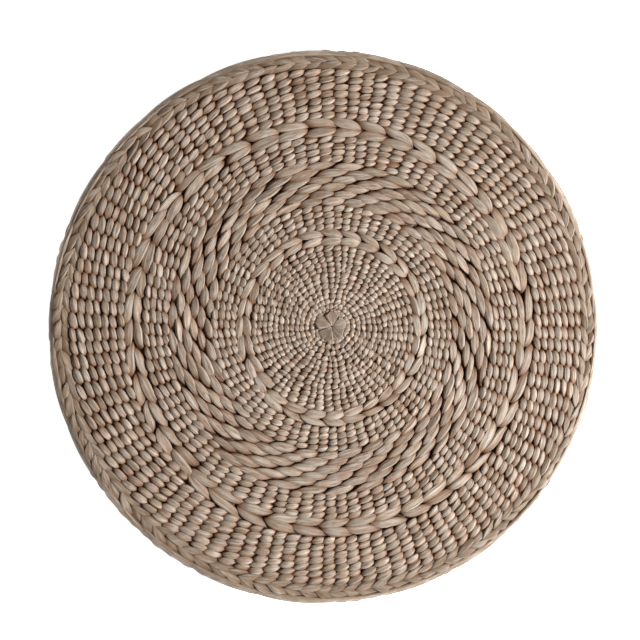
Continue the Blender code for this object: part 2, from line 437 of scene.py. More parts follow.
@dataclass
class Strands:
    """Closed lobes of leaf swept along centre lines, as one mesh.

    Arrays run over the strands, then along each one. The first and last place of a strand is its pointed end.
    """

    centre: np.ndarray  # (strands, places, 3)
    up: np.ndarray  # (strands, places, 3), away from the pad's inside
    half_width: np.ndarray  # (strands, places)
    half_thickness: np.ndarray  # (strands, places)
    depth: np.ndarray  # (strands, places), how far the centre line lies below the skin
    tone: np.ndarray  # (strands, 2)
    roll: np.ndarray  # (strands,), tilt of the section about the centre line
    arc: int = 9  # points over the outer face of a section
    under: int = 3  # points across its hidden back
    crease: float = 0.10  # how deep the lengthwise folds cut, as a share of the section
    folds: float = 2.2
    square: float = 2.5  # 2 is an oval section, more is flatter with rounder shoulders

    @property
    def around(self) -> int:
        """Points in a whole section."""
        return self.arc + self.under

    def _turns(self) -> np.ndarray:
        """Place a section's points round its centre.

        Returns:
            Their angles: the outer face from below one shoulder to below the other, then the back.
        """
        below = 0.35
        face = np.linspace(-below, math.pi + below, self.arc)
        back = np.linspace(math.pi + below, 2 * math.pi - below, self.under + 2)[1:-1]
        return np.concatenate([face, back])

    def _sections(self) -> tuple[np.ndarray, np.ndarray]:
        """Lay out the sections between the pointed ends.

        Returns:
            The points of every section, and how deep each lies below the skin.
        """
        run = np.gradient(self.centre, axis=1)
        side = np.cross(self.up, run)
        side /= np.linalg.norm(side, axis=2, keepdims=True)
        over = np.cross(run, side)
        over /= np.linalg.norm(over, axis=2, keepdims=True)
        turn = self._turns()
        across = np.sign(np.cos(turn)) * np.abs(np.cos(turn)) ** (2 / self.square)
        above = np.sign(np.sin(turn)) * np.abs(np.sin(turn)) ** (2 / self.square)
        phase = 2 * math.pi * self.tone[:, :1] * 5.0
        groove = (0.5 + 0.5 * np.cos(self.folds * math.pi * across[None, :] + phase)) ** 2
        above = above[None, :] * (1 - 1.6 * self.crease * groove * (np.sin(turn) > 0))
        q = self.half_width[:, 1:-1, None] * across[None, None, :]
        m = self.half_thickness[:, 1:-1, None] * above[:, None, :]
        cos, sin = np.cos(self.roll)[:, None, None], np.sin(self.roll)[:, None, None]
        q, m = q * cos - m * sin, q * sin + m * cos
        points = self.centre[:, 1:-1, None, :] + q[..., None] * side[:, 1:-1, None, :]
        points = points + m[..., None] * over[:, 1:-1, None, :]
        return points, self.depth[:, 1:-1, None] - m

    def _faces(self, strands: int, sections: int) -> list[tuple[int, ...]]:
        """Join the sections with quads, and close each end with a fan of triangles.

        Args:
            strands: how many strands there are.
            sections: how many sections each has.

        Returns:
            The faces, as vertex numbers.
        """
        size = sections * self.around + 2
        k = np.arange(self.around)
        after = (k + 1) % self.around
        ring = np.arange(sections - 1)[:, None] * self.around + 1
        quads = np.stack([ring + k, ring + after, ring + after + self.around, ring + k + self.around], -1)
        first = np.stack([np.zeros_like(k), after + 1, k + 1], -1)
        last_ring = 1 + (sections - 1) * self.around
        last = np.stack([np.full_like(k, size - 1), last_ring + k, last_ring + after], -1)
        start = np.arange(strands)[:, None, None] * size
        quads = (quads.reshape(1, -1, 4) + start).reshape(-1, 4)
        tips = (np.concatenate([first, last])[None] + start).reshape(-1, 3)
        return quads.tolist() + tips.tolist()

    def mesh(self, name: str) -> bpy.types.Mesh:
        """Make the mesh, with the strand's own coordinates and tones for its material.

        Args:
            name: the mesh's name.

        Returns:
            The mesh, smooth shaded.
        """
        points, depths = self._sections()
        strands, sections = points.shape[:2]
        flat = [self.centre[:, :1], points.reshape(strands, -1, 3), self.centre[:, -1:]]
        vertices = np.concatenate(flat, axis=1).reshape(-1, 3)
        vertices[:, 2] = np.clip(vertices[:, 2], 0.0, None)  # pressed flat where the pad rests
        mesh = bpy.data.meshes.new(name)
        mesh.from_pydata(vertices.tolist(), [], self._faces(strands, sections))
        self._write(mesh, "strand", self._own_coordinates(strands, sections))
        self._write(mesh, "tone", self._tones(depths, strands))
        mesh.shade_smooth()
        return mesh

    def _own_coordinates(self, strands: int, sections: int) -> np.ndarray:
        """Lay the strand's own coordinates on its points.

        Args:
            strands: how many strands there are.
            sections: how many sections each has.

        Returns:
            Metres round the section and along the strand, and a number of its own for each strand.
        """
        steps = np.linalg.norm(np.diff(self.centre, axis=1), axis=2)
        run = np.concatenate([np.zeros((strands, 1)), np.cumsum(steps, axis=1)], axis=1)
        widest = self.half_width.max(axis=1)[:, None, None]
        face = np.linspace(-1.3, 1.3, self.arc)
        back = np.linspace(1.5, 2.0, self.under)
        round_it = np.concatenate([face, back])[None, None, :] * widest
        round_it = np.broadcast_to(round_it, (strands, sections, self.around))
        along = np.broadcast_to(run[:, 1:-1, None], (strands, sections, self.around))
        inner = np.stack([round_it, along], -1).reshape(strands, -1, 2)
        ends = [np.stack([np.zeros(strands), run[:, i]], -1)[:, None] for i in (0, -1)]
        both = np.concatenate([ends[0], inner, ends[1]], axis=1)
        own = np.broadcast_to(self.tone[:, None, :1] + self.tone[:, None, 1:] * 3, (*both.shape[:2], 1))
        return np.concatenate([both, own], axis=2)

    def _tones(self, depths: np.ndarray, strands: int) -> np.ndarray:
        """Gather what the leaf's colour depends on.

        Args:
            depths: how deep each point of the sections lies below the skin.
            strands: how many strands there are.

        Returns:
            Each strand's two tones, and how deep each point lies, where the deepest counts as 1; the painted
            shade follows it.
        """
        inner = depths.reshape(strands, -1)
        deep = np.concatenate([self.depth[:, :1], inner, self.depth[:, -1:]], axis=1) / DEEPEST
        pair = np.broadcast_to(self.tone[:, None, :], (*deep.shape, 2))
        return np.concatenate([pair, np.clip(deep, 0, 1)[..., None]], axis=2)

    @staticmethod
    def _write(mesh: bpy.types.Mesh, name: str, values: np.ndarray) -> None:
        """Store one vector for each vertex under a name."""
        layer = mesh.attributes.new(name, "FLOAT_VECTOR", "POINT")
        layer.data.foreach_set("vector", np.ascontiguousarray(values, np.float32).reshape(-1))


@dataclass(frozen=True)
class StitchShape:
    """The form of one stitch, whatever its size."""

    reach: float = 1.40  # length as a share of its stretch of the row
    fullness: float = 1.09  # width as a share of the row
    thickness: float = 0.41  # half thickness as a share of the row's width
    widest: float = 0.48  # where it is widest, from 0 at its start to 1
    start: float = 0.72  # 0.5 is a round end, 1 a pointed one
    end: float = 0.86
    hug: float = 0.50  # how closely each end keeps to its side of the row, 1 being all the way
    tilt: float = 0.25  # lean of the whole stitch, as a share of the row's width
    start_tuck: float = 2.4 * MM  # how deep the end goes in beside its neighbour
    end_tuck: float = 2.0 * MM
    shingle: float = 0.3 * MM  # how much lower it starts, under the one before, than it ends
    along: int = 10
    arc: int = 9
    crease: float = 0.15
    square: float = 3.0

    def share(self, x: np.ndarray) -> np.ndarray:
        """Work out the stitch's width along its length.

        Args:
            x: places along the stitch, from 0 to 1.

        Returns:
            The width there, as a share of the widest.
        """
        before, after = (self.widest - x) / self.widest, (x - self.widest) / (1 - self.widest)
        off = np.where(x < self.widest, before, after)
        power = np.where(x < self.widest, self.start, self.end)
        return np.clip(1 - off ** 2.2, 0, 1) ** power

    def sideways(self, x: np.ndarray) -> np.ndarray:
        """Work out how far the centre line strays towards the lean.

        Args:
            x: places along the stitch, from 0 to 1.

        Returns:
            The distance there, as a share of the row's width.
        """
        side = np.where(x < self.widest, -1.0, 1.0)
        return 0.5 * self.hug * side * (1 - self.share(x)) * self.fullness + self.tilt * (2 * x - 1)


PLAIN = StitchShape()  # over one stalk
FINE = StitchShape(  # the small stitches of the centre
    reach=1.22, fullness=1.20, thickness=0.38, widest=0.47, start=0.74, end=0.92, hug=0.50, tilt=0.25,
    start_tuck=2.3 * MM, end_tuck=1.8 * MM, along=9, arc=8, crease=0.12, square=2.8)
HIDDEN = StitchShape(along=8, arc=6, crease=0.05)  # the underside
LONG = StitchShape(  # the twill band, over two stalks
    reach=1.28, fullness=1.22, thickness=0.31, widest=0.44, start=0.66, end=0.95, hug=0.62, tilt=0.20,
    start_tuck=1.6 * MM, end_tuck=1.7 * MM, shingle=0.6 * MM, along=16, arc=13, crease=0.14, square=2.8)
CHEVRON = StitchShape(  # broad leaves over two stalks
    reach=1.36, fullness=1.14, thickness=0.31, widest=0.56, start=0.72, end=0.60, hug=0.74, tilt=0.13,
    start_tuck=1.6 * MM, end_tuck=1.4 * MM, shingle=0.9 * MM, along=18, arc=15, crease=0.14, square=3.0)
ROPED = StitchShape(  # the plaited row on the flat
    reach=1.95, fullness=0.94, thickness=0.22, widest=0.52, start=0.70, end=0.75, hug=0.20, tilt=0.30,
    start_tuck=1.0 * MM, end_tuck=0.7 * MM, shingle=2.2 * MM, along=18, arc=13, crease=0.12, square=2.8)
ROLLED = StitchShape(  # the plaited row over the edge
    reach=2.10, fullness=0.72, thickness=0.17, widest=0.55, start=0.70, end=0.85, hug=0.15, tilt=0.44,
    start_tuck=1.2 * MM, end_tuck=0.6 * MM, shingle=2.3 * MM, along=20, arc=11, crease=0.12, square=3.0)
WELT = StitchShape(  # the long leaves beside it
    reach=1.60, fullness=1.0, thickness=0.30, widest=0.50, start=0.60, end=0.60, hug=0.30, tilt=0.12,
    start_tuck=0.9 * MM, end_tuck=0.9 * MM, shingle=0.0, along=40, arc=13, crease=0.10, square=2.6)


@dataclass
class Row:
    """One row of stitches round the pad."""

    run: float  # place of its middle along the outline
    width: float
    edges: np.ndarray  # in turns clockwise from the jog: where each stitch starts, and where the last ends
    lean: Lean = Lean.OUTWARD
    step: float = 0.0  # how far the row moves along the outline over its one turn


def sway(turn: np.ndarray) -> np.ndarray:
    """Space the stalks unevenly, the same in every row.

    Args:
        turn: even places round the pad, in turns.

    Returns:
        The turns to add to each.
    """
    a = 2 * math.pi * turn
    uneven = 0.30 * np.sin(3 * a + 0.6) + 0.16 * np.sin(8 * a + 2.1) + 0.10 * np.sin(17 * a + 4.0)
    return uneven / 150


def even_edges(count: int, over: int = 1, first: int = 0) -> np.ndarray:
    """Edges of stitches over evenly set stalks.

    Args:
        count: stalks in the row.
        over: how many stalks each stitch goes over.
        first: the stalk where the first stitch starts.

    Returns:
        The edges, one more than there are stitches.
    """
    turn = (first + over * np.arange(math.ceil((count - first) / over) + 1)) / count
    return turn + sway(turn)


def parting_edges(stalks: int, level: float, seed: int) -> np.ndarray:
    """Edges of stitches over stalks that part in two, each at its own distance from the centre.

    Args:
        stalks: how many there are before any has parted.
        level: how far out the row is, from 0 where none has parted to 1 where all have.
        seed: picks which stalks part first.

    Returns:
        The edges, one more than there are stitches.
    """
    stray = np.random.default_rng(seed).uniform(0, 1, stalks)
    turn_to_part = np.array([0, 2, 1, 3])[np.arange(stalks) % 4] + stray
    parts_at = 0.10 + 0.66 * turn_to_part / 4
    grown = np.clip(0.12 + (level - parts_at) / 0.55, 0, 1)
    weights = [[0.5 + 0.5 * g] * 2 if level >= at else [1.0] for g, at in zip(grown, parts_at)]
    turn = np.concatenate([[0.0], np.cumsum(np.concatenate(weights))])
    turn /= turn[-1]
    return turn + sway(turn)


def ends_close(count: int) -> np.ndarray:
    """Spread places from 0 to 1 so that they lie closer near both ends.

    Args:
        count: how many places there are.

    Returns:
        The places.
    """
    return (1 - np.cos(np.pi * np.linspace(0, 1, count))) / 2


def spiral_share(row: int, rows: int, opening: int, closing: int) -> float:
    """How much of a row's width it moves outward over its turn, less at a band's closed ends.

    Args:
        row: the row's place in its band, from 0.
        rows: how many rows the band has.
        opening: rows that open the spiral from a closed ring at the band's start.
        closing: rows that close it into a ring again at the band's end.

    Returns:
        A share from 0 to 1.
    """
    opened = row / opening if opening else 1.0
    closed = (rows - row - 0.5) / closing if closing else 1.0
    return min(1.0, opened, closed)


@dataclass
class Weaver:
    """Lays rows of stitches on the outline, as unevenly as a hand does."""

    outline: Outline
    shape: StitchShape
    seed: int
    place_spread: float = 0.045  # of a stitch along its row, as a share of its stretch
    length_spread: float = 0.05
    girth_spread: float = 0.06  # of widths and thicknesses
    lean_spread: float = 0.22
    roll_spread: float = 0.17
    lift: float = -0.15 * MM  # how far above the skin the usual stitch lies
    lift_spread: float = 0.22 * MM
    most_lift: float = 0.2 * MM
    stray: float = 0.12 * MM  # of a stitch across its row

    def lay(self, rows: Sequence[Row]) -> Strands:
        """Lay every stitch of some rows.

        Args:
            rows: the rows, in the order they are woven.

        Returns:
            The stitches, ready to be made a mesh.
        """
        chance = np.random.default_rng(self.seed)
        parts = [self._row(row, chance) for row in rows]
        joined = [np.concatenate(arrays) for arrays in zip(*parts)]
        return Strands(*joined, arc=self.shape.arc, crease=self.shape.crease, square=self.shape.square)

    def _row(self, row: Row, chance: np.random.Generator) -> tuple[np.ndarray, ...]:
        """Lay one row's stitches.

        Args:
            row: the row.
            chance: the source of the weaver's unevenness.

        Returns:
            The arrays of its stitches, in the order of the fields of Strands.
        """
        shape, count = self.shape, len(row.edges) - 1
        span = np.diff(row.edges) * 2 * math.pi
        turn = (row.edges[1:] + row.edges[:-1]) / 2
        turn = turn + chance.normal(0, self.place_spread, count) * span / 2 / math.pi
        x = ends_close(shape.along + 1)
        t = 2 * x - 1
        half_angle = span * shape.reach * chance.normal(1, self.length_spread, count) / 2
        half = row.width / 2 * shape.fullness * chance.normal(1, self.girth_spread, count)
        thick = row.width * shape.thickness * chance.normal(1, self.girth_spread, count)
        lean = row.lean.value * row.width * chance.normal(1, self.lean_spread, count)
        lift = np.minimum(chance.normal(self.lift, self.lift_spread, count), self.most_lift)
        run = row.run + row.step * (turn - 0.5) + self._waver(turn, row.run)
        run = run + chance.normal(0, self.stray, count)
        angles = (JOG_ANGLE - 2 * math.pi * turn)[:, None] - t[None, :] * half_angle[:, None]
        runs = run[:, None] + lean[:, None] * shape.sideways(x)[None, :]
        share = shape.share(x)
        sink = shape.start_tuck * np.clip(-t, 0, 1) ** 2.6 + shape.end_tuck * np.clip(t, 0, 1) ** 2.6
        sink = sink + shape.shingle * (1 - x)
        depth = thick[:, None] - lift[:, None] + sink[None, :]
        centre, up = self._place(angles, runs, depth)
        tone = self._tones(count, chance)
        roll = chance.normal(0, self.roll_spread, count)
        return centre, up, half[:, None] * share, thick[:, None] * share ** 0.6, depth, tone, roll

    def _place(self, angles: np.ndarray, runs: np.ndarray,
               depth: np.ndarray) -> tuple[np.ndarray, np.ndarray]:
        """Place points below the outline.

        Args:
            angles: their angles round the pad's axis.
            runs: their run lengths along the outline.
            depth: how far below it they lie.

        Returns:
            The points, and the outline's outward direction over them.
        """
        r, z, nr, nz = self.outline.at(runs)
        r, z = r - depth * nr, z - depth * nz
        cos, sin = np.cos(angles), np.sin(angles)
        return np.stack([r * cos, r * sin, z], -1), np.stack([nr * cos, nr * sin, nz], -1)

    @staticmethod
    def _waver(turn: np.ndarray, run: float) -> np.ndarray:
        """Let a row wander slowly, much as the rows beside it do.

        Args:
            turn: places round the pad, in turns.
            run: the row's place along the outline.

        Returns:
            How far the row strays along the outline at each.
        """
        a = 2 * math.pi * turn
        near = run / (40 * MM)
        slow, middle, quick = np.sin(2 * a + near), np.sin(5 * a - 1.7 * near + 1.0), np.sin(9 * a + near)
        return WAVER * (slow + 0.7 * middle + 0.4 * quick)

    @staticmethod
    def _tones(count: int, chance: np.random.Generator) -> np.ndarray:
        """Pick two tones for each stitch: partly those of its leaf and partly its own.

        A row is twined of two strands at a time, which show in turn, and a leaf lasts 13 stitches.

        Args:
            count: how many stitches there are.
            chance: the source of the tones.

        Returns:
            The tones, from 0 to 1.
        """
        leaves = chance.uniform(0, 1, (2, count // 9 + 2, 2))
        i = np.arange(count)
        strand = i % 2
        of_leaf = leaves[strand, (i + 5 * strand) // 13]
        return np.clip(0.5 * of_leaf + 0.5 * chance.uniform(0, 1, (count, 2)), 0, 1)


# ---------------------------------------------------------------- pieces


def add_piece(name: str, mesh: bpy.types.Mesh, node: str,
              finish: bpy.types.Material) -> bpy.types.Object:
    """Put a mesh in the scene as the piece that stands for a CAD node.

    Args:
        name: the piece's name.
        mesh: its mesh.
        node: the CAD node that it replaces.
        finish: its material.

    Returns:
        The piece, riding on the pad's one body.
    """
    piece = bpy.data.objects.new(name, mesh)
    bpy.context.scene.collection.objects.link(piece)
    mesh.materials.append(finish)
    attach(piece, "root")
    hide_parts(node)
    LOG.info("%s: %d faces for %s", name, len(mesh.polygons), node)
    return piece


def join_mesh(piece: bpy.types.Object, mesh: bpy.types.Mesh) -> None:
    """Add a mesh to a piece, in the piece's own material.

    Args:
        piece: the piece that takes it.
        mesh: the mesh to add, which is used up.
    """
    mesh.materials.append(piece.data.materials[0])
    other = bpy.data.objects.new(mesh.name, mesh)
    bpy.context.scene.collection.objects.link(other)
    with bpy.context.temp_override(active_object=piece, selected_editable_objects=[piece, other]):
        bpy.ops.object.join()


@dataclass
class TopWeave:
    """The woven top, from the centre field out to the rim: plain bands, two chevrons and the twill band."""

    outline: Outline
    leaf: bpy.types.Material
    broad_leaf: bpy.types.Material
    rim_leaf: bpy.types.Material
    first_stalks: int = 28
    inner_stalks: int = 71  # an odd number, so each turn of the twill band starts one stalk further on
    middle_stalks: int = 90
    outer_stalks: int = 108
    centre_rows: int = 13  # the first lies half under the knot
    inner_rows: int = 4
    twill_rows: int = 6
    middle_rows: int = 4
    outer_rows: int = 7
    chevron_step: float = 3.2 * MM  # how far a chevron's row steps out where it meets its own start
    knot_lap: float = 2.2 * MM  # how far the first row reaches under the knot
    rim_lap: float = 1.9 * MM  # how much wider the plaited row is than its place

    def build(self) -> None:
        """Build every band of the top."""
        last = self.centre_rows - 1
        parted = [parting_edges(self.first_stalks, i / last, 5) for i in range(self.centre_rows)]
        self._band("top_centre_field", parted, FINE, 11, opening=4)
        pairs = even_edges(2 * self.first_stalks, 2)
        self._chevron("top_inner_chevron_in", pairs, 12, Lean.OUTWARD)
        self._chevron("top_inner_chevron_out", pairs, 13, Lean.INWARD)
        self._band("top_inner_field", [even_edges(self.inner_stalks)] * self.inner_rows, PLAIN, 14)
        twill = [even_edges(self.inner_stalks, 2, i % 2) for i in range(self.twill_rows)]
        self._band("top_twill_band", twill, LONG, 15)
        self._band("top_middle_field", [even_edges(self.middle_stalks)] * self.middle_rows, PLAIN, 16)
        pairs = even_edges(self.middle_stalks, 2)
        self._chevron("top_outer_chevron_in", pairs, 17, Lean.OUTWARD)
        self._chevron("top_outer_chevron_out", pairs, 18, Lean.INWARD)
        outer = [even_edges(self.outer_stalks)] * self.outer_rows
        self._band("top_outer_field", outer, PLAIN, 19, closing=self.outer_rows)
        self._rim("top_rim_inner", Lean.OUTWARD, 20)

    def _inside_of(self, node: str) -> float:
        """Find where a band starts: at the largest of the pieces that end inside it.

        Args:
            node: the band's CAD node.

        Returns:
            The radius.
        """
        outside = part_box(node)[1].x
        others = [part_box(n)[1].x for n in TOP_NODES if n != node]
        return max((r for r in others if r < outside - MM), default=0.0) + GAP

    def _band(self, node: str, edges: list[np.ndarray], shape: StitchShape, seed: int,
              opening: int = 0, closing: int = 0) -> None:
        """Weave one band between its CAD solid's radii.

        Args:
            node: the CAD node that it stands for.
            edges: the stitch edges of each of its rows.
            shape: the form of its stitches.
            seed: picks the weaver's unevenness.
            opening: rows that open the spiral from a closed ring at its start.
            closing: rows that close it into a ring at its end.
        """
        start = self.outline.on_top(self._inside_of(node)) - (self.knot_lap if opening else 0.0)
        end = self.outline.on_top(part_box(node)[1].x)
        width = (end - start + GAP) / len(edges)
        rows = []
        for i, row_edges in enumerate(edges):
            step = width * spiral_share(i, len(edges), opening, closing)
            rows.append(Row(start - GAP / 2 + (i + 0.5) * width, width, row_edges, Lean.OUTWARD, step))
        mesh = Weaver(self.outline, shape, seed).lay(rows).mesh(node + "_stitches")
        add_piece("woven_" + node, mesh, node, self.leaf)

    def _chevron(self, node: str, edges: np.ndarray, seed: int, lean: Lean) -> None:
        """Weave one of a chevron's two rows, of the broadest and palest leaves.

        Args:
            node: the CAD node that it stands for.
            edges: its stitch edges.
            seed: picks the weaver's unevenness.
            lean: which way its stitches lean.
        """
        start = self.outline.on_top(self._inside_of(node))
        end = self.outline.on_top(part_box(node)[1].x)
        row = Row((start + end) / 2, end - start + GAP, edges, lean, self.chevron_step)
        mesh = Weaver(self.outline, CHEVRON, seed).lay([row]).mesh(node + "_stitches")
        add_piece("woven_" + node, mesh, node, self.broad_leaf)

    def _rim(self, node: str, lean: Lean, seed: int) -> None:
        """Weave the plaited row that lies on the flat inside the edge.

        Args:
            node: the CAD node that it stands for.
            lean: which way its stitches lean.
            seed: picks the weaver's unevenness.
        """
        start = self.outline.on_top(self._inside_of(node))
        end = self.outline.on_top(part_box(node)[1].x)
        row = Row((start + end) / 2, end - start + self.rim_lap, even_edges(self.outer_stalks), lean)
        mesh = Weaver(self.outline, ROPED, seed).lay([row]).mesh(node + "_stitches")
        add_piece("plaited_" + node, mesh, node, self.rim_leaf)


@dataclass
class EdgeWeave:
    """The rolled rims at the top and bottom edges, and the twined rows of the side wall between them."""

    outline: Outline
    leaf: bpy.types.Material
    rim_leaf: bpy.types.Material
    stalks: int = 108
    side_rows: int = 4
    rim_width: float = 8.6 * MM
    welt_width: float = 6.4 * MM
    welt_strands: int = 26
    welt_room: float = 2.5 * MM  # left on the wall between a plaited row and the first side row

    def build(self) -> None:
        """Build the two rolled rim rows and the side rows."""
        out = self.outline
        top = out.on_top(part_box("top_rim_inner")[1].x) + 0.5 * self.rim_width
        self._plait("top_rim_outer", top, Lean.INWARD, 31)
        foot = out.under(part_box("under_rim_inner")[1].x) - 0.5 * self.rim_width
        self._plait("under_rim_outer", foot, Lean.OUTWARD, 32)
        room = 0.5 * self.rim_width + self.welt_room
        starts = np.linspace(top + room, foot - room, self.side_rows + 1)
        for i in range(self.side_rows):
            node = f"side_row_{self.side_rows - i}"
            row = Row((starts[i] + starts[i + 1]) / 2, starts[i + 1] - starts[i], even_edges(self.stalks))
            mesh = Weaver(out, PLAIN, 33 + i).lay([row]).mesh(node + "_stitches")
            add_piece("woven_" + node, mesh, node, self.leaf)

    def _plait(self, node: str, run: float, lean: Lean, seed: int) -> None:
        """Weave one plaited row over an edge, with a welt of long leaves that its outer ends tuck behind.

        Args:
            node: the CAD node that it stands for.
            run: the place of its middle along the outline.
            lean: which way its stitches lean.
            seed: picks the weaver's unevenness.
        """
        row = Row(run, self.rim_width, even_edges(self.stalks), lean)
        plait = Weaver(self.outline, ROLLED, seed).lay([row]).mesh(node + "_stitches")
        piece = add_piece("plaited_" + node, plait, node, self.rim_leaf)
        beside = run + 0.5 * (self.rim_width + 0.2 * self.welt_width) * -lean.value
        row = Row(beside, self.welt_width, even_edges(self.welt_strands), lean)
        join_mesh(piece, Weaver(self.outline, WELT, seed + 10).lay([row]).mesh(node + "_welt"))


@dataclass
class UnderWeave:
    """The plainly twined underside and the plaited row inside its edge."""

    outline: Outline
    leaf: bpy.types.Material
    rim_leaf: bpy.types.Material
    row_width: float = 5.0 * MM
    stitch_length: float = 10.5 * MM
    most_stalks: int = 108
    fewest_stalks: int = 20
    rim_lap: float = 1.0 * MM  # how much wider the plaited row is than its place
    knot_lap: float = 2.0 * MM  # how far the last row reaches under the knot

    def build(self) -> None:
        """Build the plaited row and the two fields."""
        rim_end, rim_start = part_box("under_rim_inner")[1].x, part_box("under_outer_field")[1].x + GAP
        run = self.outline.under((rim_end + rim_start) / 2)
        row = Row(run, rim_end - rim_start + self.rim_lap, even_edges(self.most_stalks), Lean.INWARD)
        mesh = Weaver(self.outline, ROPED, 41).lay([row]).mesh("under_rim_inner_stitches")
        add_piece("plaited_under_rim_inner", mesh, "under_rim_inner", self.rim_leaf)
        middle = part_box("under_inner_field")[1].x
        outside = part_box("under_outer_field")[1].x + self.rim_lap
        self._field("under_outer_field", outside, middle, 42, opening=4)
        self._field("under_inner_field", middle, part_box("under_knot")[1].x - self.knot_lap, 43, closing=4)

    def _field(self, node: str, outside: float, inside: float, seed: int, opening: int = 0,
               closing: int = 0) -> None:
        """Weave one plain field between two radii, with fewer stalks as the rows get shorter.

        Args:
            node: the CAD node that it stands for.
            outside: the radius where it starts.
            inside: the radius where it ends.
            seed: picks the weaver's unevenness.
            opening: rows that open the spiral from a closed ring at its start.
            closing: rows that close it into a ring at its end.
        """
        count = round((outside - inside) / self.row_width)
        width = (outside - inside) / count
        rows = []
        for i in range(count):
            radius = outside - (i + 0.5) * width
            stalks = 2 * round(math.pi * radius / self.stitch_length)
            stalks = max(self.fewest_stalks, min(self.most_stalks, stalks))
            step = width * spiral_share(i, count, opening, closing)
            rows.append(Row(self.outline.under(radius), width, even_edges(stalks), step=step))
        mesh = Weaver(self.outline, HIDDEN, seed).lay(rows).mesh(node + "_stitches")
        add_piece("woven_" + node, mesh, node, self.leaf)


@dataclass
class Knots:
    """The knot of folded leaves where the weaving starts, and the one that ties off the underside."""

    leaf: bpy.types.Material
    folds: int = 5
    leaf_thickness: float = 0.9 * MM
    slope: float = 0.07  # fall of each leaf towards its tip
    tip_fall: float = 0.9 * MM  # how much further its tip bends down
    pit: float = 0.5 * MM  # radius left open in the middle
    widest: float = 0.60  # place along a leaf where it is widest
    half_width: float = 0.47  # there, as a share of the knot's radius
    swirl: float = 0.10  # turn of each leaf from its root to its tip, in radians
    tuck: float = 0.13  # roll that puts one edge of a leaf under the next, in radians
    top_lap: float = 1.4 * MM  # how far the leaves reach past the CAD knot
    under_lap: float = 1.0 * MM

    def build(self) -> None:
        """Build both knots."""
        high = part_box("top_knot")[1]
        self._knot("top_knot", high.x + self.top_lap, high.z, 1.0, 51)
        self._knot("under_knot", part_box("under_knot")[1].x + self.under_lap, 0.0, -1.0, 52)

    def _knot(self, node: str, radius: float, height: float, facing: float, seed: int) -> None:
        """Fold broad kite-shaped leaves round a centre, each with one edge under the next.

        Args:
            node: the CAD node that the knot stands for.
            radius: how far its leaves reach.
            height: where its outer face lies.
            facing: 1 for a knot that faces up, -1 for one that faces down.
            seed: picks how the leaves differ.
        """
        chance = np.random.default_rng(seed)
        count, places = self.folds, 20
        x = ends_close(places)
        angle = 2 * math.pi * (np.arange(count) + 0.16 + chance.normal(0, 0.05, count)) / count
        reach = radius * chance.normal(1, 0.05, count)
        r = self.pit + x[None, :] * (reach - self.pit)[:, None]
        fall = self.slope * r + self.tip_fall * np.clip((x - 0.7) / 0.3, 0, 1)[None, :] ** 2
        z = height + facing * (-fall - self.leaf_thickness)
        bend = angle[:, None] + self.swirl * x[None, :]
        centre = np.stack([r * np.cos(bend), r * np.sin(bend), z], -1)
        up = np.zeros_like(centre)
        up[..., 2] = facing
        growing = 0.08 + 0.92 * x / self.widest
        closing = 1 - (np.clip(x - self.widest, 0, None) / (1 - self.widest)) ** 1.15
        wide = np.where(x < self.widest, growing, closing) * self.half_width * radius
        half_width = wide[None, :] * chance.normal(1, 0.05, count)[:, None]
        body = np.clip(wide / wide.max() * 2.5, 0, 1)
        half_thickness = self.leaf_thickness * body[None, :] * np.ones((count, 1))
        for line in (half_width, half_thickness):
            line[:, [0, -1]] = 0.0
        # painted shade only: this depth sets no place, it makes the leaves browner towards their falling tips
        depth = np.broadcast_to(fall * 0.6, half_width.shape)
        tone = chance.uniform(0.1, 0.9, (count, 2))
        roll = np.full(count, self.tuck)
        leaves = Strands(centre, up, half_width, half_thickness, depth, tone, roll, arc=17, crease=0.12,
                         folds=1.2, square=3.2)
        add_piece("folded_" + node, leaves.mesh(node + "_leaves"), node, self.leaf)


